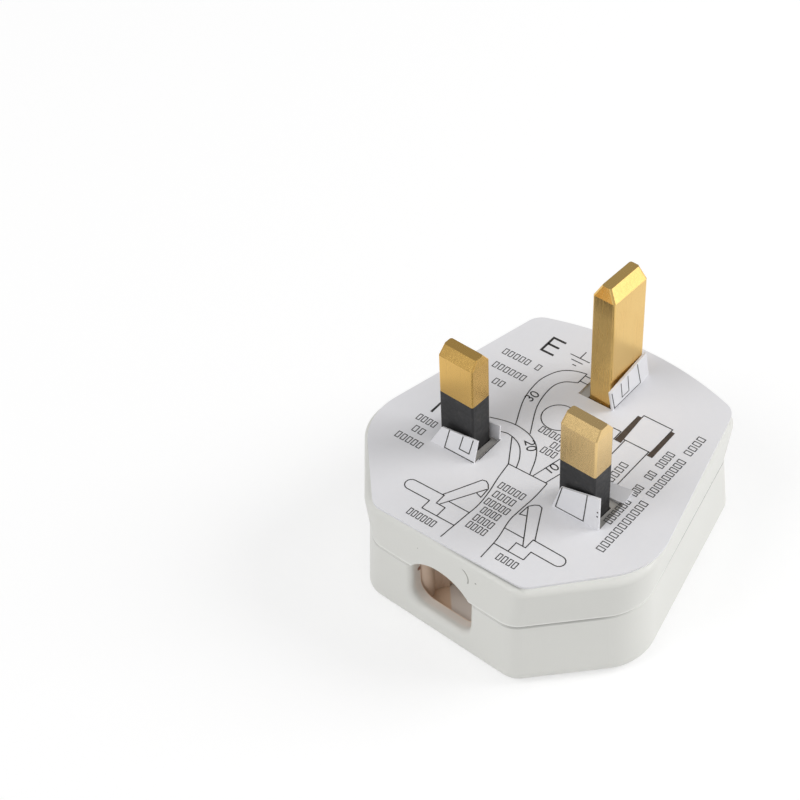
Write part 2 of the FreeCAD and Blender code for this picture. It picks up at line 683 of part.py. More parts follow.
def add_clip_ring(body, y):
    """The spring ring that holds a fuse cap, open towards the rear cover."""
    half_angle = "(size.clip_opening_deg * 1 deg / 2)"
    sketch = sketch_on(body, "ring_sketch", "XZ_Plane", "-(%s) - size.clip_width / 2" % y)
    arcs = []
    for radius in ("(%s + size.clip_sheet)" % CLIP_RADIUS, CLIP_RADIUS):
        aside = "%s * sin(%s)" % (radius, half_angle)
        low = "%s - %s * cos(%s)" % (FUSE_Z, radius, half_angle)
        right = ("%s + %s" % (LINE_X, aside), low)
        left = ("%s - %s" % (LINE_X, aside), low)
        top = (LINE_X, "%s + %s" % (FUSE_Z, radius))
        arc = sketch.addGeometry(Part.Arc(point(*right), point(*top), point(*left)))
        hold_point(sketch, arc, 1, *right)
        hold_point(sketch, arc, 2, *left)
        bind(sketch, Sketcher.Constraint("Radius", arc, value(radius)), radius)
        arcs.append((arc, point(*right), point(*left)))
    (outer, outer_right, outer_left), (inner, inner_right, inner_left) = arcs
    for end, start_point, end_point in ((1, outer_right, inner_right), (2, outer_left, inner_left)):
        side = sketch.addGeometry(Part.LineSegment(start_point, end_point))
        sketch.addConstraint(Sketcher.Constraint("Coincident", outer, end, side, 1))
        sketch.addConstraint(Sketcher.Constraint("Coincident", inner, end, side, 2))
    extrude(body, "Pad", "ring", sketch, "size.clip_width")


def make_fuse_clips():
    half_plate = "size.clip_plate_width / 2"
    half_clip = "size.clip_width / 2"
    rear = new_body("rear_fuse_clip")
    add_clip_ring(rear, REAR_CLIP_Y)
    pad(rear, "plate", "XY_Plane", "size.clip_base_height", "size.clip_sheet",
        span("%s - %s" % (LINE_X, half_plate), "%s + %s" % (LINE_X, half_plate),
             "%s - %s" % (PIN_ROW_Y, half_plate), "%s + %s" % (REAR_CLIP_Y, half_clip)))
    drill(rear, "rivet_hole", "XY_Plane", "size.clip_base_height", "size.clip_sheet",
          LINE_X, PIN_ROW_Y, "size.rivet_diameter")
    front = new_body("front_fuse_clip")
    add_clip_ring(front, FRONT_CLIP_Y)
    left = "%s - %s" % (LINE_X, half_plate)
    inner = "%s + %s" % (LINE_X, half_plate)
    clip_front = "%s - %s" % (FRONT_CLIP_Y, half_clip)
    clip_rear = "%s + %s" % (FRONT_CLIP_Y, half_clip)
    neck_front = clip_rear + " - size.clip_neck_width"
    terminal_left = "%s - size.terminal_width / 2" % LINE_TERMINAL_X
    terminal_right = "%s + size.terminal_width / 2" % LINE_TERMINAL_X
    pad(front, "plate", "XY_Plane", "size.clip_base_height", "size.clip_sheet",
        [(left, clip_front), (inner, clip_front), (inner, neck_front), (terminal_right, neck_front),
         (terminal_right, LINE_TERMINAL_Y), (terminal_left, LINE_TERMINAL_Y),
         (terminal_left, clip_rear), (left, clip_rear)])


def make_line_terminal():
    body = new_body("line_terminal")
    pad(body, "block", "XY_Plane", "size.terminal_end_height",
        "size.clip_base_height - size.terminal_end_height",
        rectangle(LINE_TERMINAL_X, LINE_TERMINAL_Y, "size.terminal_width", "size.line_terminal_length"))
    add_terminal_bores(body, LINE_TERMINAL_X, LINE_TERMINAL_Y, "size.line_terminal_length")


def make_fuse():
    barrel = new_body("fuse_barrel")
    half = "size.fuse_length / 2"
    start = "size.pin_row_setback - %s + size.fuse_cap_wall" % half
    length = "size.fuse_length - 2 * size.fuse_cap_wall"
    pad_round(barrel, "tube", "XZ_Plane", start, length, LINE_X, FUSE_Z,
              "size.fuse_cap_diameter - 2 * size.fuse_cap_wall")
    drill(barrel, "bore", "XZ_Plane", start, length, LINE_X, FUSE_Z, "size.fuse_barrel_bore")
    caps = []
    rear_end = "(size.pin_row_setback - %s)" % half
    front_cup = "(size.pin_row_setback + %s - size.fuse_cap_length)" % half
    for name, outer_end, cup_start in (("rear_cap", rear_end, rear_end + " + size.fuse_cap_wall"),
                                       ("front_cap", front_cup, front_cup)):
        cap = new_body(name)
        pad_round(cap, name + "_outside", "XZ_Plane", outer_end, "size.fuse_cap_length",
                  LINE_X, FUSE_Z, "size.fuse_cap_diameter")
        drill(cap, name + "_inside", "XZ_Plane", cup_start, "size.fuse_cap_length - size.fuse_cap_wall",
              LINE_X, FUSE_Z, "size.fuse_cap_diameter - 2 * size.fuse_cap_wall")
        caps.append(cap)
    group("fuse_end_caps", caps)


def group(label, members):
    """Like pieces that share one node as separate solids."""
    compound = doc.addObject("Part::Compound", label)
    compound.Label = label
    compound.Links = members
    return compound


def screw(label, x, y, shank, head, slot_start):
    """A slotted cheese-head screw along Z. Its shank and head are each a start, a length and a diameter."""
    body = new_body(label)
    for name, (start, length, diameter) in (("_shank", shank), ("_head", head)):
        pad_round(body, label + name, "XY_Plane", start, length, x, y, diameter)
    pocket(body, label + "_slot", "XY_Plane", slot_start, "size.screw_slot_depth",
           rectangle(x, y, "2 * " + head[2], "size.screw_slot_width"))
    return body


def make_screws():
    head_end = "(size.terminal_end_height - size.terminal_screw_head_height)"
    head = (head_end, "size.terminal_screw_head_height", "size.terminal_screw_head_diameter")
    shank = ("size.terminal_end_height", "size.wire_hole_height - size.terminal_end_height",
             "size.terminal_screw_diameter")
    places = (("earth", "0", EARTH_Y), ("neutral", NEUTRAL_X, PIN_ROW_Y),
              ("line", LINE_TERMINAL_X, LINE_TERMINAL_Y))
    group("terminal_screws", [screw(name + "_screw", x, y, shank, head, head_end) for name, x, y in places])
    under_head = "(size.body_height - size.cover_screw_recess)"
    head = (under_head, "size.cover_screw_head_height", "size.cover_screw_head_diameter")
    shank = (under_head + " - size.cover_screw_length", "size.cover_screw_length",
             "size.cover_screw_diameter")
    screw("cover_screw", "0", "0", shank, head,
          under_head + " + size.cover_screw_head_height - size.screw_slot_depth")


def ring(label, start, length, outside, inside):
    body = new_body(label)
    pad_round(body, label + "_outside", "XY_Plane", start, length, "0", "0", outside)
    drill(body, label + "_bore", "XY_Plane", start, length, "0", "0", inside)


def make_cord_grips():
    """The left jaw: a bar in the base, a post, a thin hinge and a toothed pad. The right one mirrors it."""
    body = new_body("cord_grip_left")
    sine = "sin(size.grip_jaw_angle_deg * 1 deg)"
    cosine = "cos(size.grip_jaw_angle_deg * 1 deg)"

    def jaw(along, aside):
        x = "-size.grip_post_offset + (%s) * %s + (%s) * %s" % (along, sine, aside, cosine)
        y = "%s + (%s) * %s - (%s) * %s" % (GRIP_POST_Y, along, cosine, aside, sine)
        return x, y
    top = SEAT_Z + " - size.rib_clearance"
    floor = "(size.wall + size.rib_clearance)"
    pad_round(body, "post", "XY_Plane", floor, "%s - %s" % (top, floor), "-size.grip_post_offset",
              GRIP_POST_Y, "2 * size.grip_post_radius")
    bar_front = "(%s + size.rib_clearance)" % FRONT_INSIDE_Y
    pad(body, "bar", "XY_Plane", BAR_LOW_Z, "%s - %s" % (top, BAR_LOW_Z),
        span("-size.grip_bar_reach", "-size.grip_post_offset", bar_front,
             bar_front + " + size.grip_bar_width"))
    jaw_height = "size.grip_jaw_top - " + floor
    half_hinge = "size.grip_hinge_thickness / 2"
    hinge_end = "size.grip_hinge_length"
    pad(body, "hinge", "XY_Plane", floor, jaw_height,
        [jaw("0", "-" + half_hinge), jaw("0", half_hinge),
         jaw(hinge_end, half_hinge), jaw(hinge_end, "-" + half_hinge)])
    back = "(size.grip_pad_thickness - %s)" % half_hinge
    tip = "(%s - %s - %s * %s) / %s" % (GRIP_END_Y, GRIP_POST_Y, back, sine, cosine)
    corners = [jaw(hinge_end, "-" + back), jaw(hinge_end, half_hinge)]
    for tooth in range(GRIP_TEETH):
        crest = "%s + (%s - %s) * %d / %d" % (hinge_end, tip, hinge_end, tooth + 1, GRIP_TEETH)
        corners.append(jaw(crest, half_hinge + " + size.grip_tooth_depth"))
        if tooth < GRIP_TEETH - 1:
            corners.append(jaw(crest, half_hinge))
    corners.append(jaw(tip, "-" + back))
    pad(body, "pad", "XY_Plane", floor, jaw_height, corners)
    right = doc.addObject("Part::Mirroring", "cord_grip_right")
    right.Label = "cord_grip_right"
    right.Source = body
    right.Normal = FreeCAD.Vector(1, 0, 0)


def make_card():
    """The card, drawn from the middle of the pin row and then turned about it as a whole.

    A shorter ear stands behind each current pin, opposite its tab.
    """
    body = new_body("wiring_card")
    upright = FreeCAD.Vector(0, 0, 1)
    body.Placement = FreeCAD.Placement(FreeCAD.Vector(), FreeCAD.Rotation(upright, 1))
    body.setExpression("Placement.Base.y", PIN_ROW_Y)
    body.setExpression("Placement.Rotation.Angle", CARD_TURN)
    sketch = sketch_on(body, "card_outline", "XY_Plane", "size.body_height")
    outline(sketch, *plug_corners("card_"))
    card = extrude(body, "Pad", "sheet", sketch, "size.card_thickness")
    round_corners(body, card, "size.card_thickness", ["size.card_" + radius for radius in CORNER_RADII])
    for name, x in (("line", LINE_X), ("neutral", NEUTRAL_X)):
        left = "%s - size.current_pin_width / 2 - size.card_slot_near_gap" % x
        right = "%s + size.current_pin_width / 2 + size.card_slot_far_gap" % x
        add_card_slot(body, name, "XZ_Plane", left, right, span(left, right, "-" + TAB_AT, EAR_AT))
        ear = [(left, "0"), (right, "0"), (right, "size.ear_high_height"), (left, "size.ear_low_height")]
        add_flap(body, name + "_ear", "XZ_Plane", "-" + EAR_AT, "size.body_height + size.card_thickness",
                 "size.%s_ear_lean_deg" % name, True, ear)
    front = "size.earth_pin_distance - size.earth_pin_width / 2 - size.card_slot_near_gap"
    rear = "size.earth_pin_distance + size.earth_pin_width / 2 + size.card_slot_far_gap"
    add_card_slot(body, "earth", "YZ_Plane", front, rear, span("-" + EAR_AT, TAB_AT, front, rear))


def add_card_slot(body, name, plane, low_end, high_end, corners):
    """A slot for a pin, with a tab folded up on one side to lean on the pin."""
    pocket(body, name + "_card_slot", "XY_Plane", "size.body_height", "size.card_thickness", corners)
    tab = "size.%s_tab_" % name
    add_flap(body, name + "_tab", plane, TAB_AT, "size.body_height", tab + "lean_deg", False, [
        (low_end, "0"), (high_end, "0"),
        ("%s - %shigh_inset" % (high_end, tab), tab + "high_height"),
        ("%s + %slow_inset" % (low_end, tab), tab + "low_height")])


def add_flap(body, name, plane, distance, fold_height, lean, back, corners):
    """A flap of the card's own thickness that stands on its fold and leans over towards the ear's side."""
    sketch = sketch_on(body, name + "_sketch", plane, distance)
    fold = FreeCAD.Vector(1, 0, 0)
    sketch.AttachmentOffset = FreeCAD.Placement(FreeCAD.Vector(), FreeCAD.Rotation(fold, 1))
    sketch.setExpression("AttachmentOffset.Base.y", fold_height)
    sketch.setExpression("AttachmentOffset.Rotation.Angle", "-(%s) * 1 deg" % lean)
    outline(sketch, corners)
    extrude(body, "Pad", name, sketch, "size.card_thickness", back)


def lozenge(body, name, straight, turned, start, height, margin):
    """A lozenge with round ends across the rear face near the earth end, added or cut."""
    width = "size.label_width + 2 * %s" % margin
    half = "(size.label_length - size.label_width) / 2"
    straight(body, name, "XY_Plane", start, height, rectangle("0", "size.label_reach", "2 * " + half, width))
    for side, sign in (("left", "-"), ("right", "")):
        turned(body, "%s_%s_end" % (name, side), "XY_Plane", start, height,
               sign + half, "size.label_reach", width)


def make_label():
    body = new_body("rating_label")
    lozenge(body, "film", pad, pad_round, "size.label_seat_depth - size.label_thickness",
            "size.label_thickness", "0")


make_cover()
make_base()
make_earth_pin()
neutral = make_current_pin("neutral_pin", NEUTRAL_X, "size.terminal_end_height")
add_terminal_bores(neutral, NEUTRAL_X, PIN_ROW_Y, "size.terminal_width")
line = make_current_pin("line_pin", LINE_X, PLATE_TOP_Z)
pad_round(line, "rivet", "XY_Plane", "size.clip_base_height", "size.clip_sheet",
          LINE_X, PIN_ROW_Y, "size.rivet_diameter")
make_sleeve("line_pin_sleeve", LINE_X)
make_sleeve("neutral_pin_sleeve", NEUTRAL_X)
make_fuse_clips()
make_line_terminal()
make_fuse()
make_screws()
ring("screw_retainer", "size.parting_height", "size.retainer_thickness", "size.retainer_diameter",
     "size.cover_screw_diameter + 2 * size.thread_clearance")
ring("cover_insert", "size.parting_height - size.insert_length", "size.insert_length",
     "size.insert_diameter", "size.cover_screw_diameter + 2 * size.thread_clearance")
make_cord_grips()
make_card()
make_label()

NODES = (
    "cover", "base", "earth_pin", "neutral_pin", "line_pin", "line_pin_sleeve", "neutral_pin_sleeve",
    "front_fuse_clip", "rear_fuse_clip", "line_terminal", "fuse_barrel", "fuse_end_caps",
    "terminal_screws", "cover_screw", "screw_retainer", "cover_insert", "cord_grip_left",
    "cord_grip_right", "wiring_card", "rating_label",
)

doc.recompute()
failed = [item.Label for item in doc.Objects if "Invalid" in item.State or "Error" in item.State]
if failed:
    raise RuntimeError("these objects failed: " + ", ".join(failed))
os.makedirs("parts", exist_ok=True)
shapes = {}
for node in NODES:
    shape = doc.getObjectsByLabel(node)[0].Shape
    if shape.isNull() or not shape.isValid():
        raise RuntimeError("the shape of %s is not sound" % node)
    shapes[node] = shape
for node, shape in shapes.items():
    shape.exportStep(os.path.join("parts", node + ".step"))
    print("%-20s %d solids, %.1f mm3" % (node, len(shape.Solids), shape.Volume))
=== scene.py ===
import json
import math

import bpy
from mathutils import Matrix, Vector


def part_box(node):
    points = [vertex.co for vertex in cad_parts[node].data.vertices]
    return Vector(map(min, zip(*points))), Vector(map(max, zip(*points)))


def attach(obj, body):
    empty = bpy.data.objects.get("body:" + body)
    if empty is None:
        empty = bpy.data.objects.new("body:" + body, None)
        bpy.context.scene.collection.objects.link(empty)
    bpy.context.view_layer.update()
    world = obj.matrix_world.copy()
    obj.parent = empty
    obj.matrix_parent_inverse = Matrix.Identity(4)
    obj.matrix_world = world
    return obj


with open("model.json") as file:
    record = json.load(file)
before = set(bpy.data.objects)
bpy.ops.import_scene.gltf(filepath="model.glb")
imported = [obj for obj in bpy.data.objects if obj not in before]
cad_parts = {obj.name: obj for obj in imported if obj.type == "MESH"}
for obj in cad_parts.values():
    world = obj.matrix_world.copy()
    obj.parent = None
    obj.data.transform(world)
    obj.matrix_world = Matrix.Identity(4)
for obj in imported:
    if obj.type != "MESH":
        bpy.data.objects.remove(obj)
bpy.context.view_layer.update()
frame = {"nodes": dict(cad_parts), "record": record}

MM = 0.001

# Camera: where it stands round the middle of the pin face, and how far its aim is from that point.
CAMERA_AZIMUTH = math.radians(43.61)
CAMERA_ELEVATION = math.radians(43.87)
CAMERA_ROLL = math.radians(-3.22)
CAMERA_DISTANCE = 291.5 * MM
CAMERA_ASIDE = -22.1 * MM
CAMERA_ABOVE = 7.1 * MM
CAMERA_LENS = 88.53
CAMERA_SENSOR = 36.0
CAMERA_NEAR = 0.01
AIM = Vector((0.0, -0.3, 20.0)) * MM

# Floor and light.
FLOOR_SIZE = 3.0
FLOOR_GLOW = 0.555
SKY_BRIGHT_SIDE = Vector((0.50, -0.52, -0.69))
SKY_DIM = 0.40
SKY_BRIGHT = 0.72
LAMPS = (
    # name, place, size, watts
    ("key_lamp", (0.55, 0.62, 0.60), 0.60, 4.4),
    ("side_lamp", (0.88, 0.54, 0.10), 0.50, 0.9),
    ("front_lamp", (-0.35, -0.70, 0.85), 0.70, 3.5),
)

# The card and its print, measured in mm from the middle of the pin row, in the card's own turned axes.
CARD_THICKNESS = 0.35
CARD_TURN = math.radians(2.7)
PRINT_LIFT = 0.02
JAW_LIFT = PRINT_LIFT * 1.5
LABEL_LIFT = PRINT_LIFT / 2
LINE_WIDTH = 0.17
MITRE_LIMIT = 0.4
TAB_REACH = 6.0
TAB_FACING = 0.9
FOLD_HEIGHT = 0.5
TAB_DOT_WIDTH = 0.25
LETTER_WIDTH = 0.42
NUMBER_WIDTH = 0.22
WORD_HEIGHT = 1.2
WORD_FILL = 0.58
WORD_STROKE = 0.15

# Marks on the shell, in mm: specks and fleck by centre and radius, scuff by centre, radius, width and ends.
# The scuff is full to a share of its width, and fades past its ends.
SPECKS = (
    ((6.9, -25.7, 17.15), 0.2), ((-3.9, -25.7, 17.0), 0.12), ((17.8, 21.9, 19.0), 0.2),
    ((13.5, -25.9, 6.5), 0.12),
)
RUST_FLECK = ((-5.6, -23.75, 9.7), 0.5)
SCUFF = ((3.55, -25.7, 16.8), 2.0, 0.17, (16.2, 18.4))
SCUFF_CORE, SCUFF_FADE = 0.4, 0.2

# Ranges on the shell, in mm, for its painted shade and painted light. Four numbers are where a mark starts,
# is full, fades and is gone.
# Painted shadow along the right of the card's front edge.
CARD_EDGE = -24.95
CARD_SHADOW_ALONG = (CARD_EDGE - 0.4, CARD_EDGE - 0.05, CARD_EDGE + 1.0, CARD_EDGE + 2.0)
CARD_SHADOW_ACROSS = (-2.0, 8.0, 13.0, 15.0)
CARD_SHADOW_HEIGHT = (19.2, 19.7)
CARD_SHADOW_STRENGTH = 0.8
PARTING_HEIGHT = 11.9
# Painted shade in the groove where the halves meet, strongest on the front-right wall, and a painted
# highlight on the rim above it.
PARTING_SHADE = (-0.4, -0.2, 0.05, 0.15)
PARTING_HIGHLIGHT = (0.1, 0.2, 0.35, 0.6)
HIGHLIGHT_STRENGTH = 0.75
FRONT_RIGHT_STARTS, FRONT_RIGHT_ENDS = (9.0, 14.0), (21.0, 25.0)
SHADE_AT_FRONT, SHADE_AT_FRONT_RIGHT, SHADE_SHARE_AT_RIGHT = 0.4, 0.85, 0.1
# Painted warm shade on the lip and inside of the cord entry.
ENTRY_LIP_SHADE = ((-11.0, 11.0), (-25.2, 12.0), (1.2, 18.3))
ENTRY_INSIDE_SHADE = ((-11.0, 11.0), (-23.7, 12.0), (1.2, 18.3))
# Painted shade on the base's face inside the card's slots.
CARD_SLOT_SHADE = ((-17.0, 17.0), (-10.0, 22.5), (19.7, 20.5))
LIP_SOFT, INSIDE_SOFT, SLOT_SOFT = 0.9, 0.2, 0.1
# A painted pool of light at the right inside the cord entry.
LIGHT_PATCH_SIDE = (0.724, 0.690, 0.0)
LIGHT_PATCH_EDGE = -15.95
LIGHT_PATCH_SOFT = 0.15
LIGHT_PATCH_BOX = ((-6.0, 6.0), (-23.5, -17.9), (1.2, 12.0))

# Where painted reflections turn the brass darker on the line side and paler on the neutral side, in mm
# across.
LINE_SIDE_DARK_REFLECTION, NEUTRAL_SIDE_PALE_REFLECTION = (-7.0, -6.0), (6.0, 7.0)

# Label on the rear face, in mm: the height of its words, and each row's place, letters and width.
LABEL_WORD_HEIGHT = 0.9
LABEL_ROWS = ((2.0, 9, 11.0), (0.0, 6, 8.0), (-2.0, 10, 12.0))


# Sockets of a Mix node that are used for colours, and the range that most of a noise lies in.
COLOUR_MIX_INPUTS, COLOUR_MIX_OUTPUT = (0, 6, 7), 2
NOISE_RANGE = (0.3, 0.7)


class Surface:
    """A node material being made: its shader, and the surface's own position in metres."""

    def __init__(self, name, roughness, metallic=0.0):
        self.material = bpy.data.materials.new(name)
        self.material.use_nodes = True
        self.tree = self.material.node_tree
        self.shader = self.tree.nodes["Principled BSDF"]
        self.shader.inputs["Roughness"].default_value = roughness
        self.shader.inputs["Metallic"].default_value = metallic
        self.position = self.tree.nodes.new("ShaderNodeTexCoord").outputs["Object"]

    def feed(self, socket, value):
        """Links a socket to another node's output, or sets its constant."""
        if isinstance(value, bpy.types.NodeSocket):
            self.tree.links.new(value, socket)
        else:
            socket.default_value = value

    def noise(self, scale, detail=3.0, stretch=(1.0, 1.0, 1.0)):
        """Noise with features of about 1 / scale metres, drawn out along an axis by a small stretch."""
        scaled = self.vector("MULTIPLY", self.position, stretch)
        node = self.tree.nodes.new("ShaderNodeTexNoise")
        node.inputs["Scale"].default_value = scale
        node.inputs["Detail"].default_value = detail
        self.feed(node.inputs["Vector"], scaled)
        return node.outputs["Fac"]

    def vector(self, operation, first, second, output="Vector"):
        node = self.tree.nodes.new("ShaderNodeVectorMath")
        node.operation = operation
        self.feed(node.inputs[0], first)
        self.feed(node.inputs[1], second)
        return node.outputs[output]

    def math(self, operation, first, second=0.0):
        node = self.tree.nodes.new("ShaderNodeMath")
        node.operation = operation
        self.feed(node.inputs[0], first)
        self.feed(node.inputs[1], second)
        return node.outputs["Value"]

    def between(self, value, low, high, to_low=0.0, to_high=1.0):
        """A smooth step of a value from one range to another."""
        node = self.tree.nodes.new("ShaderNodeMapRange")
        node.interpolation_type = "SMOOTHSTEP"
        for name, amount in (("Value", value), ("From Min", low), ("From Max", high),
                             ("To Min", to_low), ("To Max", to_high)):
            self.feed(node.inputs[name], amount)
        return node.outputs["Result"]

    def hump(self, value, start, full, fades, gone):
        """1 inside a range in mm, with a smooth rise before it and a smooth fall after it."""
        return self.math("MULTIPLY", self.between(value, start * MM, full * MM),
                         self.between(value, fades * MM, gone * MM, 1.0, 0.0))

    def axes(self):
        node = self.tree.nodes.new("ShaderNodeSeparateXYZ")
        self.feed(node.inputs[0], self.position)
        return node.outputs["X"], node.outputs["Y"], node.outputs["Z"]

    def mix(self, factor, first, second):
        node = self.tree.nodes.new("ShaderNodeMix")
        node.data_type = "RGBA"
        for index, value in zip(COLOUR_MIX_INPUTS, (factor, first, second)):
            is_colour = not isinstance(value, (float, bpy.types.NodeSocket))
            self.feed(node.inputs[index], (*value, 1.0) if is_colour else value)
        return node.outputs[COLOUR_MIX_OUTPUT]

    def colour(self, value):
        self.feed(self.shader.inputs["Base Color"], value)

    def roughen(self, value, low, high):
        self.feed(self.shader.inputs["Roughness"], self.between(value, *NOISE_RANGE, low, high))

    def bump(self, height, distance, strength=1.0):
        node = self.tree.nodes.new("ShaderNodeBump")
        node.inputs["Distance"].default_value = distance
        node.inputs["Strength"].default_value = strength
        self.feed(node.inputs["Height"], height)
        self.feed(self.shader.inputs["Normal"], node.outputs["Normal"])

    def spot(self, centre, radius):
        """A round mark on the surface, full to half its radius."""
        away = self.vector("DISTANCE", self.position, Vector(centre) * MM, "Value")
        return self.between(away, radius * MM * 0.5, radius * MM, 1.0, 0.0)

    def scratch(self, centre, radius, width, ends):
        """A curved scratch: the right part of a ring round a point, between two heights."""
        away = self.vector("DISTANCE", self.position, Vector(centre) * MM, "Value")
        off = self.math("ABSOLUTE", self.math("SUBTRACT", away, radius * MM))
        line = self.between(off, width * MM * SCUFF_CORE, width * MM, 1.0, 0.0)
        across, _, height = self.axes()
        low, high = ends
        line = self.math("MULTIPLY", line, self.hump(height, low - SCUFF_FADE, low, high, high + SCUFF_FADE))
        return self.math("MULTIPLY", line, self.math("GREATER_THAN", across, centre[0] * MM))

    def block(self, across, along, up, soft):
        """The inside of a box, from its low to its high side on each axis, with a soft edge."""
        inside = 1.0
        for value, (low, high) in zip(self.axes(), (across, along, up)):
            inside = self.math("MULTIPLY", self.hump(value, low, low + soft, high - soft, high), inside)
        return inside


def card_edge_shadow(surface):
    """A painted shadow on the shell along the right of the card's front edge, where the card's edge would
    cast it.
    """
    across, _, up = surface.axes()
    turned = (-math.sin(CARD_TURN), math.cos(CARD_TURN), 0.0)
    along = surface.vector("DOT_PRODUCT", surface.position, turned, "Value")
    low, high = CARD_SHADOW_HEIGHT
    line = surface.math("MULTIPLY", surface.hump(along, *CARD_SHADOW_ALONG), CARD_SHADOW_STRENGTH)
    for limit in (surface.hump(across, *CARD_SHADOW_ACROSS), surface.between(up, low * MM, high * MM)):
        line = surface.math("MULTIPLY", line, limit)
    return line


def parting_shade_and_highlight(surface):
    """Painted shade in the groove where the halves meet, deepest along the front-right wall, and a painted
    highlight on the rim above it.
    """
    across, _, up = surface.axes()
    above = surface.math("SUBTRACT", up, PARTING_HEIGHT * MM)
    starts, ends = ([limit * MM for limit in limits] for limits in (FRONT_RIGHT_STARTS, FRONT_RIGHT_ENDS))
    dark = surface.hump(above, *PARTING_SHADE)
    for limit in (surface.between(across, *starts, SHADE_AT_FRONT, SHADE_AT_FRONT_RIGHT),
                  surface.between(across, *ends, 1.0, SHADE_SHARE_AT_RIGHT)):
        dark = surface.math("MULTIPLY", dark, limit)
    return dark, surface.math("MULTIPLY", surface.hump(above, *PARTING_HIGHLIGHT), HIGHLIGHT_STRENGTH)


def entry_light_patch(surface):
    """A painted pool of light at the right inside the cord entry."""
    aside = surface.vector("DOT_PRODUCT", surface.position, LIGHT_PATCH_SIDE, "Value")
    right = surface.between(aside, (LIGHT_PATCH_EDGE - LIGHT_PATCH_SOFT) * MM, (LIGHT_PATCH_EDGE + LIGHT_PATCH_SOFT) * MM)
    return surface.math("MULTIPLY", right, surface.block(*LIGHT_PATCH_BOX, INSIDE_SOFT))


def shell_plastic():
    """Satin off-white moulding with a few marks, painted warm shade inside the cord entry with a painted pool
    of light at its right, painted grey shade in the card's slots, a painted shadow along the card's edge, and
    painted shade and highlight at the parting line.
    """
    surface = Surface("shell_plastic", 0.4)
    cloud = surface.noise(70.0)
    grain = surface.noise(2600.0, 2.0)
    marks = surface.scratch(*SCUFF)
    for centre, radius in SPECKS:
        marks = surface.math("MAXIMUM", marks, surface.spot(centre, radius))
    # dark is painted shade in the parting groove; pale is a painted highlight on the rim above it.
    dark, pale = parting_shade_and_highlight(surface)
    tone = surface.mix(cloud, (0.775, 0.775, 0.735), (0.80, 0.80, 0.765))
    for place, tint in (
            (surface.math("MULTIPLY", marks, 0.75), (0.25, 0.24, 0.21)),
            # Painted warm shade on the cord entry's lip and inside.
            (surface.block(*ENTRY_LIP_SHADE, LIP_SOFT), (0.80, 0.74, 0.68)),
            (surface.block(*ENTRY_INSIDE_SHADE, INSIDE_SOFT), (0.90, 0.70, 0.53)),
            # Painted pool of light at the right inside the cord entry.
            (entry_light_patch(surface), (0.92, 0.87, 0.82)),
            (surface.spot(*RUST_FLECK), (0.30, 0.13, 0.08)),
            # Painted shadow on the shell along the card's front edge.
            (card_edge_shadow(surface), (0.33, 0.33, 0.31)),
            # Painted highlight above the parting groove, then painted shade in it.
            (pale, (0.95, 0.95, 0.92)),
            (dark, (0.50, 0.50, 0.48)),
            # Painted shade on the base's face inside the card's slots.
            (surface.block(*CARD_SLOT_SHADE, SLOT_SOFT), (0.42, 0.41, 0.39))):
        tone = surface.mix(place, tone, tint)
    surface.colour(tone)
    surface.roughen(cloud, 0.36, 0.46)
    surface.bump(grain, 0.02 * MM, 0.5)
    return surface.material


def drawn_brass(name, light, dark, pale, low, high):
    """Brass with fine lines along its length and soft tarnish, with a painted dark reflection on the line
    side and a painted pale reflection opposite.
    """
    surface = Surface(name, low, 1.0)
    lines = surface.noise(3200.0, 4.0, (1.0, 1.0, 0.03))
    patch = surface.noise(160.0, 3.0)
    tone = surface.mix(surface.between(patch, 0.3, 0.8, 0.0, 0.45), light, dark)
    across, _, _ = surface.axes()
    dark_reflection, pale_reflection = ([limit * MM for limit in limits] for limits in (LINE_SIDE_DARK_REFLECTION, NEUTRAL_SIDE_PALE_REFLECTION))
    # Painted dark reflection on the line side, and painted pale reflection on the neutral side.
    tone = surface.mix(surface.between(across, *dark_reflection, 1.0, 0.0), tone, dark)
    tone = surface.mix(surface.between(across, *pale_reflection, 0.0, 0.85), tone, pale)
    surface.colour(surface.mix(surface.between(lines, 0.3, 0.8, 0.0, 0.1), tone, dark))
    surface.roughen(surface.math("ADD", surface.math("MULTIPLY", lines, 0.5),
                                 surface.math("MULTIPLY", patch, 0.5)), low, high)
    surface.bump(lines, 0.0015 * MM, 0.5)
    return surface.material


def sleeve_plastic():
    surface = Surface("sleeve_plastic", 0.42)
    grain = surface.noise(1800.0, 3.0)
    dust = surface.noise(700.0, 5.0)
    surface.colour(surface.mix(surface.between(dust, 0.5, 0.8), (0.014, 0.014, 0.015), (0.036, 0.035, 0.033)))
    surface.roughen(grain, 0.36, 0.5)
    surface.bump(grain, 0.015 * MM, 0.5)
    return surface.material


def card_stock():
    """Smooth white card, with a faint fibre and a slight wave from being pushed over the pins."""
    surface = Surface("card_stock", 0.62)
    fibre = surface.noise(1500.0, 5.0)
    wave = surface.noise(75.0, 1.0)
    surface.colour(surface.mix(fibre, (0.805, 0.805, 0.832), (0.83, 0.83, 0.857)))
    surface.roughen(fibre, 0.55, 0.68)
    height = surface.math("ADD", surface.math("MULTIPLY", fibre, 0.01), wave)
    surface.bump(height, 0.6 * MM, 0.35)
    return surface.material


def print_ink(name, dark, light):
    surface = Surface(name, 0.55)
    fade = surface.noise(1200.0, 4.0)
    surface.colour(surface.mix(surface.between(fade, 0.35, 0.7), dark, light))
    surface.roughen(fade, 0.5, 0.62)
    return surface.material


def label_film():
    surface = Surface("label_film", 0.3)
    fade = surface.noise(120.0, 3.0)
    surface.colour(surface.mix(fade, (0.33, 0.045, 0.028), (0.40, 0.065, 0.04)))
    surface.roughen(fade, 0.26, 0.36)
    surface.shader.inputs["Coat Weight"].default_value = 0.4
    return surface.material


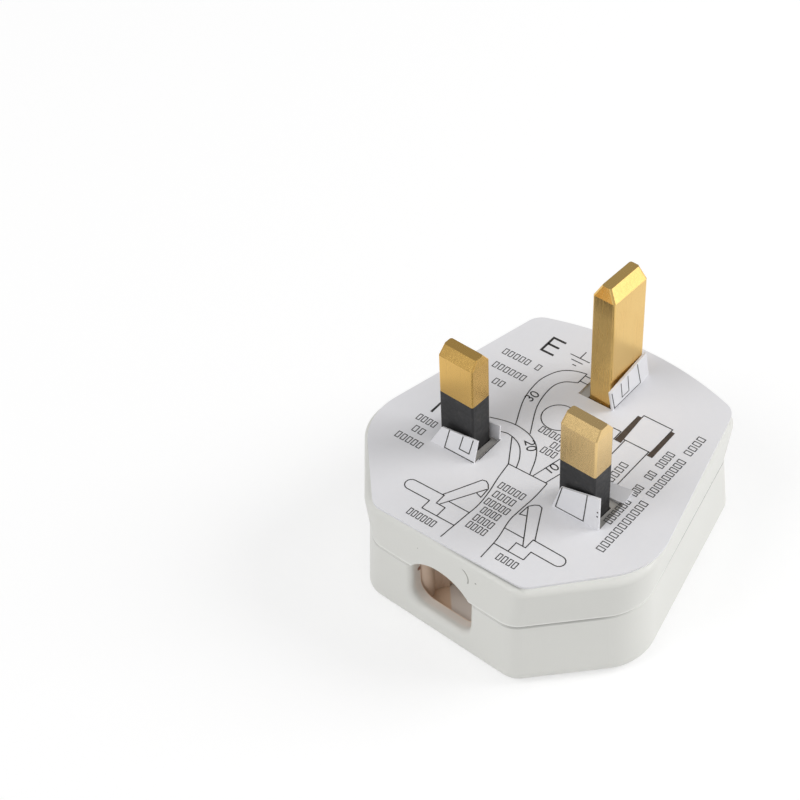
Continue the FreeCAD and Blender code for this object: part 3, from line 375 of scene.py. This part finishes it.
def moulded(name, first, second, roughness, scale):
    """A plain moulded, pressed or fired material with a grain of its own."""
    surface = Surface(name, roughness)
    grain = surface.noise(scale, 4.0)
    surface.colour(surface.mix(grain, first, second))
    surface.roughen(grain, roughness - 0.05, roughness + 0.08)
    surface.bump(grain, 0.02 * MM, 0.5)
    return surface.material


def grip_plastic():
    """The grip's plastic: tan on the left, and paler on the right as painted light from the front right."""
    surface = Surface("grip_plastic", 0.5)
    grain = surface.noise(900.0, 4.0)
    tan = surface.mix(grain, (0.72, 0.54, 0.41), (0.80, 0.63, 0.50))
    across, _, _ = surface.axes()
    # Painted light: the right half is paler where light from the front right falls on it.
    surface.colour(surface.mix(surface.between(across, -1.0 * MM, 1.0 * MM), tan, (0.84, 0.77, 0.70)))
    surface.roughen(grain, 0.45, 0.58)
    surface.bump(grain, 0.02 * MM, 0.5)
    return surface.material


def turned_steel(name, light, dark):
    surface = Surface(name, 0.3, 1.0)
    marks = surface.noise(1600.0, 4.0, (1.0, 1.0, 0.2))
    surface.colour(surface.mix(surface.between(marks, 0.35, 0.75), light, dark))
    surface.roughen(marks, 0.24, 0.4)
    return surface.material


def floor_paint():
    """Pale floor that the camera and shiny pieces see as white, with the plug's shadow on it."""
    surface = Surface("floor_paint", 0.8)
    cloud = surface.noise(6.0, 2.0)
    path = surface.tree.nodes.new("ShaderNodeLightPath")
    seen = path.outputs["Is Camera Ray"]
    for kind in ("Is Glossy Ray", "Is Transmission Ray"):
        seen = surface.math("MAXIMUM", seen, path.outputs[kind])
    pale = surface.mix(cloud, (0.795, 0.795, 0.795), (0.805, 0.805, 0.805))
    surface.colour(surface.mix(seen, pale, (0.5, 0.5, 0.5)))
    surface.shader.inputs["Emission Color"].default_value = (1.0, 1.0, 1.0, 1.0)
    surface.feed(surface.shader.inputs["Emission Strength"], surface.math("MULTIPLY", seen, FLOOR_GLOW))
    return surface.material


MATERIALS = {
    "shell": shell_plastic(),
    # The dark colour serves the tarnish and the painted dark reflection; the pale one is the painted pale
    # reflection.
    "pin_brass": drawn_brass("pin_brass", (0.83, 0.56, 0.20), (0.74, 0.465, 0.14),
                             (0.80, 0.58, 0.28), 0.2, 0.3),
    "clip_brass": drawn_brass("clip_brass", (0.76, 0.55, 0.27), (0.62, 0.42, 0.18),
                              (0.76, 0.57, 0.31), 0.28, 0.42),
    "sleeve": sleeve_plastic(),
    "fuse_ceramic": moulded("fuse_ceramic", (0.80, 0.78, 0.72), (0.86, 0.85, 0.80), 0.5, 1500.0),
    "plated_metal": turned_steel("plated_metal", (0.72, 0.72, 0.70), (0.60, 0.60, 0.58)),
    "screw_steel": turned_steel("screw_steel", (0.62, 0.61, 0.57), (0.46, 0.45, 0.42)),
    "retainer": moulded("retainer", (0.26, 0.05, 0.03), (0.34, 0.08, 0.05), 0.7, 1400.0),
    "grip": grip_plastic(),
    "card": card_stock(),
    "label": label_film(),
}
BLACK_INK = print_ink("black_ink", (0.016, 0.015, 0.015), (0.04, 0.038, 0.036))
GREY_INK = print_ink("grey_ink", (0.03, 0.03, 0.031), (0.06, 0.06, 0.061))
BROWN_INK = print_ink("brown_ink", (0.055, 0.04, 0.03), (0.085, 0.06, 0.045))
PALE_INK = print_ink("pale_ink", (0.74, 0.72, 0.69), (0.80, 0.78, 0.75))


class Print:
    """Flat print on one face: its outline pieces are gathered into one mesh."""

    def __init__(self, origin, right, up):
        self.origin, self.right, self.up = Vector(origin), Vector(right), Vector(up)
        self.points, self.faces = [], []

    def place(self, point):
        return self.origin + (self.right * point[0] + self.up * point[1]) * MM

    def patch(self, corners):
        first = len(self.points)
        self.points += [self.place(corner) for corner in corners]
        self.faces.append(range(first, first + len(corners)))

    def stroke(self, path, width=LINE_WIDTH, closed=False):
        """A line of even width along a path, mitred at its corners."""
        path = [Vector(point) for point in path]
        count = len(path)
        first = len(self.points)
        for index, point in enumerate(path):
            before = path[index - 1] if index or closed else point
            after = path[(index + 1) % count] if index < count - 1 or closed else point
            arriving = (point - before).normalized() if before != point else (after - point).normalized()
            leaving = (after - point).normalized() if after != point else arriving
            along = (arriving + leaving).normalized()
            aside = Vector((-along.y, along.x))
            reach = width / 2 / max(MITRE_LIMIT, along.dot(leaving))
            self.points += [self.place(point + aside * reach), self.place(point - aside * reach)]
        for index in range(count if closed else count - 1):
            here, there = first + 2 * index, first + 2 * ((index + 1) % count)
            self.faces.append((here, here + 1, there + 1, there))

    def word(self, start, end, letters, height=WORD_HEIGHT):
        """The place of a printed word: one small empty box for each letter."""
        start, end = Vector(start), Vector(end)
        step = (end - start) / letters
        up = Vector((-step.y, step.x)).normalized() * height / 2
        for index in range(letters):
            left = start + step * index
            right = left + step * WORD_FILL
            self.stroke([left - up, right - up, right + up, left + up], WORD_STROKE, closed=True)

    def text(self, characters, start, height, angle=0.0, width=NUMBER_WIDTH):
        """Plain letters or numbers, drawn in strokes."""
        along = Vector((math.cos(angle), math.sin(angle)))
        up = Vector((-along.y, along.x))
        pen = Vector(start)
        for character in characters:
            for path in GLYPHS[character]:
                self.stroke([pen + (along * x + up * y) * height for x, y in path], width)
            pen = pen + along * height * GLYPH_PITCH

    def make(self, name, material, slot):
        mesh = bpy.data.meshes.new(name)
        mesh.from_pydata(self.points, [], self.faces)
        mesh.materials.append(material)
        piece = bpy.data.objects.new(name, mesh)
        bpy.context.scene.collection.objects.link(piece)
        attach(piece, "root")


def arc(centre, radius, start, end, steps=10, squeeze=1.0):
    """Points along an arc, from one angle to another in degrees, narrowed across by a squeeze."""
    angles = [math.radians(start + (end - start) * index / steps) for index in range(steps + 1)]
    return [(centre[0] + radius * squeeze * math.cos(angle), centre[1] + radius * math.sin(angle))
            for angle in angles]


def smooth(path, steps=6):
    """A path through the same points with its corners eased out."""
    path = [Vector(point) for point in path]
    ends = [path[0] * 2 - path[1]] + path + [path[-1] * 2 - path[-2]]
    eased = []
    for index in range(1, len(ends) - 2):
        before, here, there, after = ends[index - 1:index + 3]
        for step in range(steps):
            t = step / steps
            eased.append(here + ((there - before) * t
                                 + (before * 2 - here * 5 + there * 4 - after) * t ** 2
                                 + (here * 3 - before - there * 3 + after) * t ** 3) / 2)
    return eased + [path[-1]]


GLYPH_PITCH = 0.85
GLYPHS = {
    "E": [[(0.68, 1.0), (0.0, 1.0), (0.0, 0.0), (0.68, 0.0)], [(0.0, 0.52), (0.62, 0.52)]],
    "N": [[(0.0, 0.0), (0.0, 1.0), (0.72, 0.0), (0.72, 1.0)]],
    "L": [[(0.0, 1.0), (0.0, 0.0), (0.6, 0.0)]],
    "0": [arc((0.32, 0.5), 0.5, 90, 450, 14, 0.62)],
    "1": [[(0.4, 1.0), (0.4, 0.0)]],
    "2": [arc((0.32, 0.72), 0.28, 160, -40, 8) + [(0.0, 0.0), (0.64, 0.0)]],
    "3": [arc((0.3, 0.76), 0.24, 160, -90, 8) + arc((0.3, 0.26), 0.26, 90, -160, 8)],
}

EARTH_CONDUCTOR = (
    [(-4.1, 22.1), (-5.9, 21.6), (-7.6, 20.5), (-8.7, 18.6), (-9.2, 16.0), (-8.6, 11.8), (-6.4, 6.7)],
    [(-4.1, 19.7), (-6.0, 18.5), (-6.8, 16.2), (-6.1, 11.8), (-3.5, 6.4)],
)
NEUTRAL_CONDUCTOR = (
    [(-10.5, 5.7), (-8.3, 6.4), (-6.0, 6.7), (-3.4, 6.2), (-1.3, 4.9), (0.2, 2.7), (1.4, -0.45)],
    [(-7.8, 4.1), (-5.9, 4.5), (-3.5, 3.6), (-1.9, 1.6), (-1.0, -0.45)],
)
LINE_CONDUCTOR = ([(3.1, 4.8), (1.9, -0.45)], [(5.5, 4.7), (4.2, -0.4)])
CORD_LEFT = [(-2.4, -0.5), (-1.95, -3.6), (-1.3, -6.8), (-1.0, -9.7), (-1.2, -12.6), (-1.6, -17.8)]
CORD_RIGHT = [(4.5, -0.4), (4.6, -3.8), (4.4, -7.4), (4.4, -9.6), (5.1, -13.4), (5.3, -17.5)]

# One side of the cord grip; the other is its mirror image about the cord, a little higher.
GRIP_MIRROR = 1.6
GRIP_RISE = 0.65
GRIP_LINES = (
    [(-6.1, -11.15), (-11.3, -11.25)] + arc((-11.3, -12.25), 1.0, 90, 270, 8)
    + [(-7.2, -13.2), (-7.2, -15.0)],
    [(-6.4, -11.15), (-6.1, -11.15), (-6.1, -13.0), (-4.5, -13.0), (-4.5, -15.0)],
    [(-6.4, -11.15), (-3.5, -5.4), (-2.9, -5.25), (-2.3, -5.6), (-1.75, -6.3)],
    [(-1.85, -6.5), (-5.6, -12.95)],
    [(-1.75, -6.3), (-1.6, -8.3), (-2.6, -8.0)],
)
# Lines from the grip to the cord's edge: two on the left and two on the right.
GRIP_RUNGS = (
    [(-7.2, -15.0), (-1.4, -14.95)], [(-4.85, -11.7), (-1.15, -11.7)],
    [(10.4, -14.35), (5.2, -14.3)], [(8.05, -11.05), (4.7, -11.05)],
)

# Fine lines of the diagram: the earth core's end, the cord's end, the sides of the fuse and a terminal
# beside it, the earth symbol and a line beside the line pin's slot.
DIAGRAM_LINES = (
    [(-4.1, 22.1), (-4.1, 19.7)], [(-4.1, 21.6), (-2.6, 21.6)], [(-4.1, 20.2), (-2.6, 20.2)],
    [(-5.3, 4.3), (-2.4, -0.5), (4.5, -0.4)],
    [(8.6, 13.7), (8.6, 4.2)], [(12.75, 13.7), (12.75, 4.2)], [(5.7, 14.8), (7.1, 14.8), (7.1, 12.8)],
    [(-7.0, 26.1), (-7.0, 24.4)], [(-8.8, 24.4), (-5.2, 24.4)], [(-8.0, 23.5), (-5.9, 23.5)],
    [(-7.2, 22.6), (-6.5, 22.6)],
    [(-6.4, -2.35), (-6.4, 2.8)],
)
# The end cap of the drawn fuse, and the dark jaws of the clip that holds it.
FUSE_CAP = [(7.95, 13.7), (13.05, 13.7), (13.05, 19.65), (7.95, 19.65)]
CLIP_JAWS = (
    [(7.25, 12.8), (8.4, 12.8), (8.0, 19.1), (7.25, 19.1)],
    [(12.9, 12.9), (13.85, 12.9), (13.75, 19.2), (13.15, 19.2)],
)
# The drawn screw hole.
SCREW_HOLE = arc((-2.0, 11.8), 2.75, 0, 350, 35)

# Letters of the terminals, and plain numbers on the conductors: start, and angle in degrees.
LETTER_HEIGHT, NUMBER_HEIGHT = 3.4, 1.4
TERMINAL_LETTERS = (("E", (-13.0, 22.5)), ("N", (-18.3, 1.4)), ("L", (4.0, 11.0)))
STRIP_NUMBERS = (("30", (-7.5, 12.0), 82), ("20", (-3.2, 4.7), -44), ("10", (3.7, 1.2), 77))

# Lines on the folded tabs, in mm from the start of each fold: the node beside the tab, which way the tab
# faces, and its lines with their widths.
TAB_LINES = {
    "line_tab_lines": ("line_pin_sleeve", (0.0, -1.0, 0.0), (
        ([(2.8, 3.2), (2.6, 0.15), (8.0, 0.15)], LINE_WIDTH),
        ([(5.3, 3.3), (5.1, 1.1), (6.9, 1.1), (7.1, 3.5)], LINE_WIDTH))),
    "neutral_tab_lines": ("neutral_pin_sleeve", (0.0, -1.0, 0.0), (
        ([(1.45, 4.5), (0.6, 0.3), (5.4, 0.3), (5.7, 5.5)], LINE_WIDTH),
        ([(7.5, 3.3), (7.75, 3.3)], TAB_DOT_WIDTH),
        ([(7.5, 2.5), (7.75, 2.5)], TAB_DOT_WIDTH))),
    "earth_tab_lines": ("earth_pin", (1.0, 0.0, 0.0), (
        ([(-0.5, 3.9), (0.4, 0.2), (7.4, 0.2), (6.2, 4.9)], LINE_WIDTH),
        ([(1.9, 4.2), (2.4, 1.0), (4.2, 1.0), (3.7, 4.4)], LINE_WIDTH))),
}

# Words across the card: height, start, end and letters.
# Words up its right side: place across, then the same.
WORDS_ACROSS = (
    (18.9, -17.5, -12.3, 5), (18.9, -11.3, -10.2, 1), (15.6, -17.0, -10.8, 6), (12.6, -14.8, -12.6, 2),
    (-0.5, -19.3, -15.6, 4), (-2.8, -18.3, -16.0, 2), (-5.25, -19.6, -14.6, 5),
    (8.25, -2.9, 1.9, 5), (6.55, 0.4, 2.5, 2), (4.9, -0.2, 2.6, 3),
    (-4.65, -0.9, 3.8, 5), (-6.5, -0.5, 3.4, 4), (-8.35, -0.6, 3.7, 5), (-10.05, 0.0, 3.3, 4),
    (-11.85, 0.0, 3.5, 4), (-13.5, 0.0, 3.5, 4), (-16.5, -8.4, -3.4, 6), (-15.9, 7.1, 10.7, 4),
)
WORDS_UP = (
    (11.3, 5.5, 10.1, 4), (15.75, -1.5, 4.1, 6), (15.65, 5.1, 7.5, 3), (15.6, 9.1, 11.0, 2),
    (15.6, 12.0, 15.8, 4), (17.9, -6.5, 5.3, 11), (17.7, 6.4, 15.5, 9), (17.55, 16.6, 21.2, 4),
)


def card_print(lift=PRINT_LIFT):
    """A fresh print on the card's face, in mm from the middle of the pin row."""
    line, neutral = (sum((Vector(corner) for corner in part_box(name)), Vector()) / 2
                     for name in ("line_pin_sleeve", "neutral_pin_sleeve"))
    middle = (line + neutral) / 2
    middle.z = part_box("wiring_card")[0][2] + (CARD_THICKNESS + lift) * MM
    turn = (math.cos(CARD_TURN), math.sin(CARD_TURN))
    return Print(middle, (turn[0], turn[1], 0.0), (-turn[1], turn[0], 0.0))


def print_diagram():
    """The wiring diagram: conductors, cord, cord grip, screw and fuse, in fine lines."""
    lines = card_print()
    for path in (*EARTH_CONDUCTOR, *NEUTRAL_CONDUCTOR, CORD_LEFT, CORD_RIGHT):
        lines.stroke(smooth(path))
    for path in (*LINE_CONDUCTOR, *GRIP_RUNGS, *GRIP_LINES, *DIAGRAM_LINES):
        lines.stroke(path)
    for path in GRIP_LINES:
        lines.stroke([(2 * GRIP_MIRROR - x, y + GRIP_RISE) for x, y in path])
    lines.stroke(SCREW_HOLE, closed=True)
    lines.stroke(FUSE_CAP, closed=True)
    lines.make("diagram_lines", BLACK_INK, "card")


def print_letters():
    """The letters of the three terminals and plain numbers on the conductors."""
    letters = card_print()
    for character, start in TERMINAL_LETTERS:
        letters.text(character, start, LETTER_HEIGHT, width=LETTER_WIDTH)
    letters.make("terminal_letters", BLACK_INK, "card")
    numbers = card_print()
    for characters, start, degrees in STRIP_NUMBERS:
        numbers.text(characters, start, NUMBER_HEIGHT, math.radians(degrees))
    numbers.make("strip_numbers", BLACK_INK, "card")


def print_words():
    words = card_print()
    for height, left, right, letters in WORDS_ACROSS:
        words.word((left, height), (right, height), letters)
    for across, low, high, letters in WORDS_UP:
        words.word((across, low), (across, high), letters)
    words.make("word_marks", GREY_INK, "card")


def print_clip():
    """The dark jaws of the clip in the diagram, beside the end cap of the fuse."""
    jaws = card_print(JAW_LIFT)
    for corners in CLIP_JAWS:
        jaws.patch(corners)
    jaws.make("fuse_caps_print", BROWN_INK, "card")


def tab_print(pin, outward):
    """A fresh print on the outer face of the tab beside a pin, in mm from the start of its fold."""
    mesh = frame["nodes"]["wiring_card"].data
    low, high = (Vector(corner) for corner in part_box(pin))
    middle = (low + high) / 2
    outward = Vector(outward)
    sheet_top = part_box("wiring_card")[0][2] + CARD_THICKNESS * MM
    fold_top = sheet_top + FOLD_HEIGHT * MM

    def is_outer(face):
        away = face.center - middle
        beside = max(abs(away.x), abs(away.y)) < TAB_REACH * MM and away.dot(outward) > 0
        return beside and face.normal.dot(outward) > TAB_FACING and face.center.z > fold_top

    faces = [face for face in mesh.polygons if is_outer(face)]
    normal = sum((face.normal * face.area for face in faces), Vector()).normalized()
    up = (Vector((0.0, 0.0, 1.0)) - normal * normal.z).normalized()
    right = up.cross(normal)
    fold = [mesh.vertices[index].co for face in faces for index in face.vertices]
    fold = [point for point in fold if point.z < fold_top]
    start = min(fold, key=lambda point: point.dot(right))
    return Print(start + normal * PRINT_LIFT * MM, right, up)


def print_tabs():
    """The outlines that cross each folded tab."""
    for name, (pin, outward, paths) in TAB_LINES.items():
        lines = tab_print(pin, outward)
        for path, width in paths:
            lines.stroke(path, width)
        lines.make(name, BLACK_INK, "card")


def print_label():
    """Three rows of pale marks on the rear label, in place of words."""
    low, high = (Vector(corner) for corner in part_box("rating_label"))
    middle = (low + high) / 2
    middle.z = low.z - LABEL_LIFT * MM
    rows = Print(middle, (-1.0, 0.0, 0.0), (0.0, 1.0, 0.0))
    for height, letters, width in LABEL_ROWS:
        rows.word((-width / 2, height), (width / 2, height), letters, LABEL_WORD_HEIGHT)
    rows.make("label_marks", PALE_INK, "label")


def dress_nodes():
    """Gives each node the material of its slot in the record."""
    for part in frame["record"]["subparts"]:
        node = frame["nodes"][part["node"]]
        node.data.materials.clear()
        node.data.materials.append(MATERIALS[part["material_slot"]])


def make_floor():
    half = FLOOR_SIZE / 2
    mesh = bpy.data.meshes.new("floor")
    corners = [(-half, -half, 0), (half, -half, 0), (half, half, 0), (-half, half, 0)]
    mesh.from_pydata(corners, [], [range(len(corners))])
    mesh.materials.append(floor_paint())
    floor = bpy.data.objects.new("floor", mesh)
    bpy.context.scene.collection.objects.link(floor)


def make_light():
    """A sky that is brightest low at the front right, and soft lamps."""
    scene = bpy.context.scene
    world = bpy.data.worlds.new("studio")
    scene.world = world
    world.use_nodes = True
    nodes, links = world.node_tree.nodes, world.node_tree.links
    towards = nodes.new("ShaderNodeTexCoord").outputs["Generated"]
    facing = nodes.new("ShaderNodeVectorMath")
    facing.operation = "DOT_PRODUCT"
    facing.inputs[1].default_value = SKY_BRIGHT_SIDE
    links.new(towards, facing.inputs[0])
    fade = nodes.new("ShaderNodeMapRange")
    fade.interpolation_type = "SMOOTHSTEP"
    for name, amount in (("From Min", -1.0), ("From Max", 1.0), ("To Min", SKY_DIM), ("To Max", SKY_BRIGHT)):
        fade.inputs[name].default_value = amount
    links.new(facing.outputs["Value"], fade.inputs["Value"])
    sky = nodes["Background"]
    sky.inputs["Color"].default_value = (1.0, 1.0, 1.0, 1.0)
    links.new(fade.outputs["Result"], sky.inputs["Strength"])
    for name, place, size, watts in LAMPS:
        lamp = bpy.data.lights.new(name, "AREA")
        lamp.shape = "DISK"
        lamp.size = size
        lamp.energy = watts
        holder = bpy.data.objects.new(name, lamp)
        holder.location = place
        holder.rotation_euler = (AIM - Vector(place)).to_track_quat("-Z", "Y").to_euler()
        scene.collection.objects.link(holder)
    scene.view_settings.view_transform = "Standard"


def make_camera():
    """A camera at the photo's angle: its axes come from azimuth and elevation, then turn by the roll."""
    level = math.cos(CAMERA_ELEVATION)
    back = Vector((math.sin(CAMERA_AZIMUTH) * level, -math.cos(CAMERA_AZIMUTH) * level,
                   math.sin(CAMERA_ELEVATION)))
    right = Vector((0.0, 0.0, 1.0)).cross(back).normalized()
    up = back.cross(right)
    cosine, sine = math.cos(CAMERA_ROLL), math.sin(CAMERA_ROLL)
    right, up = right * cosine + up * sine, up * cosine - right * sine
    data = bpy.data.cameras.new("camera")
    data.sensor_width = CAMERA_SENSOR
    data.lens = CAMERA_LENS
    data.clip_start = CAMERA_NEAR
    camera = bpy.data.objects.new("camera", data)
    camera.location = AIM + right * CAMERA_ASIDE + up * CAMERA_ABOVE + back * CAMERA_DISTANCE
    turned = camera.matrix_world.to_3x3()
    turned.col[0], turned.col[1], turned.col[2] = right, up, back
    camera.rotation_euler = turned.to_euler()
    bpy.context.scene.collection.objects.link(camera)
    bpy.context.scene.camera = camera


make_camera()
make_floor()
make_light()
dress_nodes()
print_diagram()
print_letters()
print_words()
print_clip()
print_tabs()
print_label()

bpy.context.view_layer.update()
